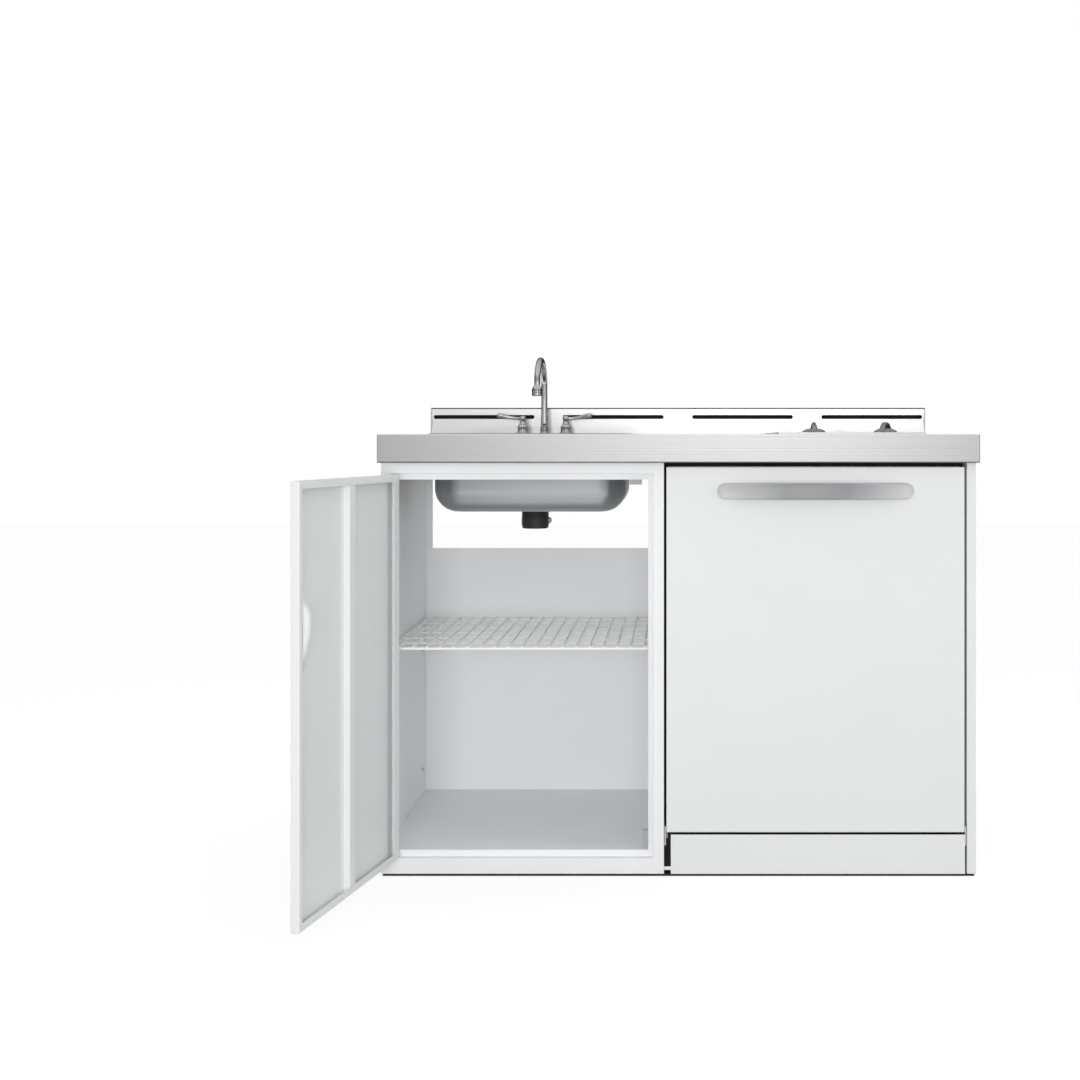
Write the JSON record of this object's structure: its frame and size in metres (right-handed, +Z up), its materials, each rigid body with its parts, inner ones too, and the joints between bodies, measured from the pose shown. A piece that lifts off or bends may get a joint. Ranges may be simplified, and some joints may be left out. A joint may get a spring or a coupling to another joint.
{
  "type": "kitchenette unit",
  "caption": "Compact kitchenette unit: steel worktop with sink, swivel faucet and smooth hob over a door cabinet and a built-in dishwasher.",
  "frame": {"origin": "middle of the cabinet body's footprint, on the floor, at the lower face of the plinth frame", "axes": "+X to the right of a person facing the front, +Y to the back, +Z up; the front faces -Y"},
  "size_m": [1.2774, 1.1413, 1.08],
  "materials": {
    "white_enamel": "white powder coat, fine texture",
    "worktop_steel": "brushed along its length",
    "bowl_steel": "dull satin",
    "tub_steel": "satin",
    "chrome": "polished",
    "handle_satin": "satin grey",
    "black_plastic": "fine grain",
    "grey_plastic": "fine grain",
    "white_plastic": "smooth",
    "rubber": "matt",
    "hob_glass": "opaque black, polished",
    "zinc": "zinc plated",
    "brass": "raw",
    "white_wire": "white coating"
  },
  "bodies": {
    "root": {"plinth_frame": "black_plastic", "left_side_panel": "white_enamel", "centre_partition": "white_enamel", "right_end_panel": "white_enamel", "front_frame": "white_enamel", "cabinet_floor": "white_enamel", "back_panel": "white_enamel", "worktop_rails": "white_enamel", "worktop": "worktop_steel", "backsplash": "worktop_steel", "sink_bowl": "bowl_steel", "strainer_body": "chrome", "strainer_gasket": "rubber", "drain_outlet": "black_plastic", "spout_base": "chrome", "valve_bells": "chrome", "faucet_nuts": "brass", "hob_trim_frame": "worktop_steel", "hob_glass": "hob_glass", "radiant_elements": "zinc", "hob_under_box": "tub_steel", "hob_switches": "zinc", "shelf_clips": "white_enamel", "wire_shelf": "white_wire", "frame_hinge_leaves": "zinc", "door_catches": "zinc", "carcass_screws": "zinc", "dishwasher_base": "black_plastic", "dishwasher_tub": "tub_steel", "toe_kick": "white_enamel", "tub_gasket": "rubber", "hinge_brackets": "zinc", "rack_rails": "grey_plastic", "upper_rack": "white_wire", "lower_rack": "white_wire", "sump": "black_plastic", "sump_filter": "tub_steel", "wash_pumps": "grey_plastic", "spray_feed_tube": "grey_plastic"},
    "cabinet_door": {"door_pan": "white_enamel", "door_stiffener": "white_enamel", "door_pull": "white_enamel", "door_hinge_leaves": "zinc"},
    "dishwasher_door": {"dishwasher_door_panel": "white_enamel", "dishwasher_door_liner": "tub_steel", "bow_handle": "handle_satin", "control_strip": "white_plastic", "detergent_dispenser": "grey_plastic"},
    "power_button": {"power_button": "grey_plastic"},
    "start_button": {"start_button": "grey_plastic"},
    "dispenser_lid": {"dispenser_lid": "grey_plastic"},
    "upper_spray_arm": {"upper_spray_arm": "grey_plastic"},
    "lower_spray_arm": {"lower_spray_arm": "grey_plastic"},
    "faucet_spout": {"faucet_spout": "chrome", "aerator": "chrome"},
    "left_faucet_lever": {"left_faucet_lever": "chrome"},
    "right_faucet_lever": {"right_faucet_lever": "chrome"},
    "left_knob": {"left_knob": "chrome"},
    "right_knob": {"right_knob": "chrome"},
    "strainer_basket": {"strainer_basket": "chrome"}
  },
  "joints": [
    {"name": "cabinet_door_hinge", "type": "hinge", "parent": "root", "child": "cabinet_door", "pos_m": [-0.58575, -0.3088, 0.04], "axis": [0, 0, 1], "range_deg": [-8, 99.3]},
    {"name": "dishwasher_door_hinge", "type": "hinge", "parent": "root", "child": "dishwasher_door", "pos_m": [0.27875, -0.3, 0.095], "axis": [1, 0, 0], "range_deg": [0, 90]},
    {"name": "power_button_press", "type": "slide", "parent": "dishwasher_door", "child": "power_button", "axis": [0, 0, -1], "range_m": [0, 0.0012], "stiffness_N_per_m": 300, "springref_m": -0.002},
    {"name": "start_button_press", "type": "slide", "parent": "dishwasher_door", "child": "start_button", "axis": [0, 0, -1], "range_m": [0, 0.0012], "stiffness_N_per_m": 300, "springref_m": -0.002},
    {"name": "dispenser_lid_slide", "type": "slide", "parent": "dishwasher_door", "child": "dispenser_lid", "axis": [1, 0, 0], "range_m": [0, 0.066]},
    {"name": "upper_spray_arm_spin", "type": "hinge", "parent": "root", "child": "upper_spray_arm", "pos_m": [0.27875, -0.0052, 0.478], "axis": [0, 0, 1], "continuous": true},
    {"name": "lower_spray_arm_spin", "type": "hinge", "parent": "root", "child": "lower_spray_arm", "pos_m": [0.27875, -0.0052, 0.154], "axis": [0, 0, 1], "continuous": true},
    {"name": "spout_swivel", "type": "hinge", "parent": "root", "child": "faucet_spout", "pos_m": [-0.315, 0.235, 0.902], "axis": [0, 0, 1], "range_deg": [-96, 104]},
    {"name": "left_lever_turn", "type": "hinge", "parent": "root", "child": "left_faucet_lever", "pos_m": [-0.3658, 0.235, 0.912], "axis": [0, 0, 1], "range_deg": [0, 90]},
    {"name": "right_lever_turn", "type": "hinge", "parent": "root", "child": "right_faucet_lever", "pos_m": [-0.2642, 0.235, 0.912], "axis": [0, 0, 1], "range_deg": [-90, 0]},
    {"name": "left_knob_turn", "type": "hinge", "parent": "root", "child": "left_knob", "pos_m": [0.28, -0.25, 0.905], "axis": [0, 0, 1], "range_deg": [-300, 0]},
    {"name": "right_knob_turn", "type": "hinge", "parent": "root", "child": "right_knob", "pos_m": [0.428, -0.25, 0.905], "axis": [0, 0, 1], "range_deg": [-265, 35]},
    {"name": "strainer_basket_lift", "type": "slide", "parent": "root", "child": "strainer_basket", "axis": [0, 0, 1], "range_m": [0, 0.15]}
  ]
}
